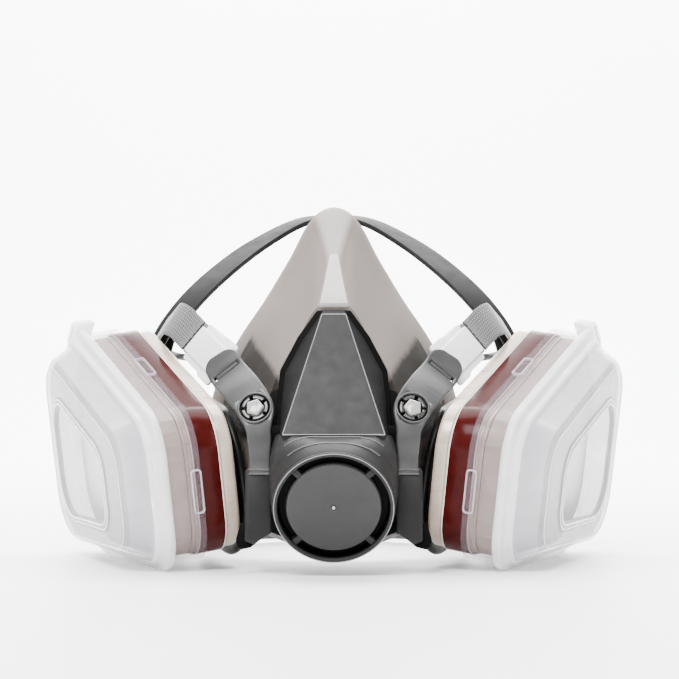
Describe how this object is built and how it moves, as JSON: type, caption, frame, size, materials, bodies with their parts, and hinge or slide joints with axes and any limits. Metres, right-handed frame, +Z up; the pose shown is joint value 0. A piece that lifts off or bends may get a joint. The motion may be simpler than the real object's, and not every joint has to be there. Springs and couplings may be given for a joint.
{
  "type": "half-face respirator",
  "caption": "Reusable half mask with a soft face seal, bayonet gas cartridges under clear prefilter retainers, an exhalation valve in a grey front cover and a head cradle harness.",
  "frame": {"origin": "middle of the bounding box's underside: the surface that the mask stands on, on the lower edges of its two retainers, on the plane of symmetry", "axes": "+Z up, -Y out of the front of the mask, +X across it, X = 0 its plane of symmetry"},
  "size_m": [0.2184, 0.1944, 0.1321],
  "materials": {
    "seal_rubber": "matte",
    "front_plastic": "matte",
    "port_plastic": "matte",
    "stud_plastic": "gloss",
    "white_plastic": "gloss",
    "cartridge_plastic": "satin",
    "band_foil": "gloss",
    "grille_plastic": "matte",
    "carbon": "matte",
    "filter_felt": "matte",
    "retainer_plastic": "gloss",
    "valve_silicone": "satin",
    "cradle_plastic": "matte",
    "webbing": "matte"
  },
  "bodies": {
    "facepiece": {"face_seal": "seal_rubber", "faceplate": "port_plastic", "front_cover": "front_plastic", "exhalation_seat": "white_plastic", "harness_yoke": "front_plastic", "retaining_stud_right": "stud_plastic", "retaining_stud_left": "stud_plastic", "inhalation_port_right": "port_plastic", "inhalation_port_left": "port_plastic", "port_gasket_right": "valve_silicone", "port_gasket_left": "valve_silicone", "inhalation_seat_right": "white_plastic", "inhalation_seat_left": "white_plastic"},
    "exhalation_cover": {"exhalation_cover": "front_plastic"},
    "exhalation_flap": {"exhalation_valve": "valve_silicone"},
    "inhalation_flap_right": {"inhalation_valve_right": "valve_silicone"},
    "cartridge_right": {"cartridge_body_right": "cartridge_plastic", "cartridge_label_right": "band_foil", "carbon_bed_right": "carbon", "cartridge_lid_right": "grille_plastic"},
    "retainer_right": {"filter_retainer_right": "retainer_plastic", "prefilter_right": "filter_felt"},
    "inhalation_flap_left": {"inhalation_valve_left": "valve_silicone"},
    "cartridge_left": {"cartridge_body_left": "cartridge_plastic", "cartridge_label_left": "band_foil", "carbon_bed_left": "carbon", "cartridge_lid_left": "grille_plastic"},
    "retainer_left": {"filter_retainer_left": "retainer_plastic", "prefilter_left": "filter_felt"},
    "buckles": {"strap_buckle_right": "white_plastic", "strap_buckle_left": "white_plastic", "strap_tail_right": "webbing", "strap_tail_left": "webbing"},
    "head_harness": {"upper_strap_right": "webbing", "upper_strap_left": "webbing", "head_cradle": "cradle_plastic"},
    "neck_strap": {"neck_strap_right": "webbing", "neck_strap_left": "webbing", "clasp_hook": "front_plastic", "clasp_loop": "front_plastic"}
  },
  "joints": [
    {"name": "exhalation_cover_pull", "type": "slide", "parent": "facepiece", "child": "exhalation_cover", "axis": [0, -0.9255, -0.3786], "range_m": [0, 0.02]},
    {"name": "exhalation_flap_lift", "type": "slide", "parent": "facepiece", "child": "exhalation_flap", "axis": [0, -0.9255, -0.3786], "range_m": [0, 0.0015], "stiffness_N_per_m": 20},
    {"name": "inhalation_flap_lift_right", "type": "slide", "parent": "facepiece", "child": "inhalation_flap_right", "axis": [-0.9283, 0.3349, 0.1616], "range_m": [0, 0.0015], "stiffness_N_per_m": 20},
    {"name": "cartridge_twist_right", "type": "hinge", "parent": "facepiece", "child": "cartridge_right", "pos_m": [0.04601, -0.03269, 0.03391], "axis": [0.9283, -0.3349, -0.1616], "range_deg": [-45, 0]},
    {"name": "retainer_pull_right", "type": "slide", "parent": "cartridge_right", "child": "retainer_right", "axis": [0.9283, -0.3349, -0.1616], "range_m": [0, 0.03]},
    {"name": "inhalation_flap_lift_left", "type": "slide", "parent": "facepiece", "child": "inhalation_flap_left", "axis": [0.9283, 0.3349, 0.1616], "range_m": [0, 0.0015], "stiffness_N_per_m": 20},
    {"name": "cartridge_twist_left", "type": "hinge", "parent": "facepiece", "child": "cartridge_left", "pos_m": [-0.04601, -0.03269, 0.03391], "axis": [-0.9283, -0.3349, -0.1616], "range_deg": [0, 45]},
    {"name": "retainer_pull_left", "type": "slide", "parent": "cartridge_left", "child": "retainer_left", "axis": [-0.9283, -0.3349, -0.1616], "range_m": [0, 0.03]},
    {"name": "buckle_swing", "type": "hinge", "parent": "facepiece", "child": "buckles", "pos_m": [0, -0.05018, 0.07014], "axis": [1, 0, 0], "range_deg": [-0.5, 5]},
    {"name": "harness_swing", "type": "hinge", "parent": "buckles", "child": "head_harness", "pos_m": [0, -0.02466, 0.08249], "axis": [1, 0, 0], "range_deg": [-2.5, 48]},
    {"name": "neck_strap_swing", "type": "hinge", "parent": "facepiece", "child": "neck_strap", "pos_m": [0, 0.00975, 0.0152], "axis": [1, 0, 0], "range_deg": [0, 40]}
  ]
}
